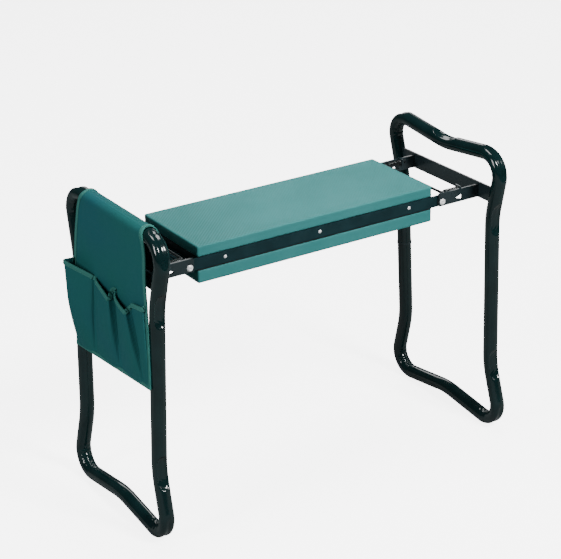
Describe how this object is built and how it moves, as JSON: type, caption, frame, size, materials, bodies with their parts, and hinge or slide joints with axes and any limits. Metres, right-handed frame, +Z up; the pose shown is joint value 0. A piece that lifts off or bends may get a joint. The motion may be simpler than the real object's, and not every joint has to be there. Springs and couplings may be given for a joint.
{
  "type": "garden kneeler seat",
  "caption": "Folding garden kneeler seat: foam kneeling and sitting pads on a railed board between two bent tube loops that fold under it, with a pocketed tool bag on one handle.",
  "frame": {"origin": "on the floor, under the middle of the seat", "axes": "+Z up; +X along the seat towards the bare loop; +Y towards the rear rail"},
  "size_m": [0.6139, 0.2772, 0.4671],
  "materials": {
    "eva_foam": "matte moulded foam",
    "board": "painted black",
    "black_paint": "gloss powder coat",
    "zinc": "bright zinc",
    "nylon": "matte",
    "latch_wire": "satin black",
    "spring_steel": "black oxide wire",
    "bag_cloth": "coated oxford cloth",
    "bag_binding": "woven tape"
  },
  "bodies": {
    "seat": {"upper_pad": "eva_foam", "lower_pad": "eva_foam", "seat_board": "board", "front_rail": "black_paint", "rear_rail": "black_paint", "left_end_bar": "black_paint", "right_end_bar": "black_paint", "rail_screws": "zinc", "end_bar_screws": "zinc", "pivot_rivets": "zinc", "pivot_washers": "nylon"},
    "right_frame": {"right_loop_tube": "black_paint", "right_loop_weld": "black_paint", "right_cross_plate": "black_paint", "right_front_arm": "black_paint", "right_rear_arm": "black_paint", "right_latch_guides": "black_paint", "right_latch_springs": "spring_steel"},
    "right_latch": {"right_latch_bail": "latch_wire"},
    "left_frame": {"left_loop_tube": "black_paint", "left_loop_weld": "black_paint", "left_cross_plate": "black_paint", "left_front_arm": "black_paint", "left_rear_arm": "black_paint", "left_latch_guides": "black_paint", "left_latch_springs": "spring_steel", "bag_panel": "bag_cloth", "bag_pockets": "bag_cloth", "bag_bindings": "bag_binding"},
    "left_latch": {"left_latch_bail": "latch_wire"}
  },
  "joints": [
    {"name": "right_fold", "type": "hinge", "parent": "seat", "child": "right_frame", "pos_m": [0.2155, 0, 0.385], "axis": [0, 1, 0], "range_deg": [0, 95.4]},
    {"name": "left_fold", "type": "hinge", "parent": "seat", "child": "left_frame", "pos_m": [-0.2155, 0, 0.385], "axis": [0, -1, 0], "range_deg": [0, 88.2]},
    {"name": "right_latch_pull", "type": "slide", "parent": "right_frame", "child": "right_latch", "axis": [1, 0, 0], "range_m": [0, 0.006], "stiffness_N_per_m": 500, "springref_m": -0.004, "deforming": ["right_latch_springs"]},
    {"name": "left_latch_pull", "type": "slide", "parent": "left_frame", "child": "left_latch", "axis": [-1, 0, 0], "range_m": [0, 0.006], "stiffness_N_per_m": 500, "springref_m": -0.004, "deforming": ["left_latch_springs"]}
  ]
}
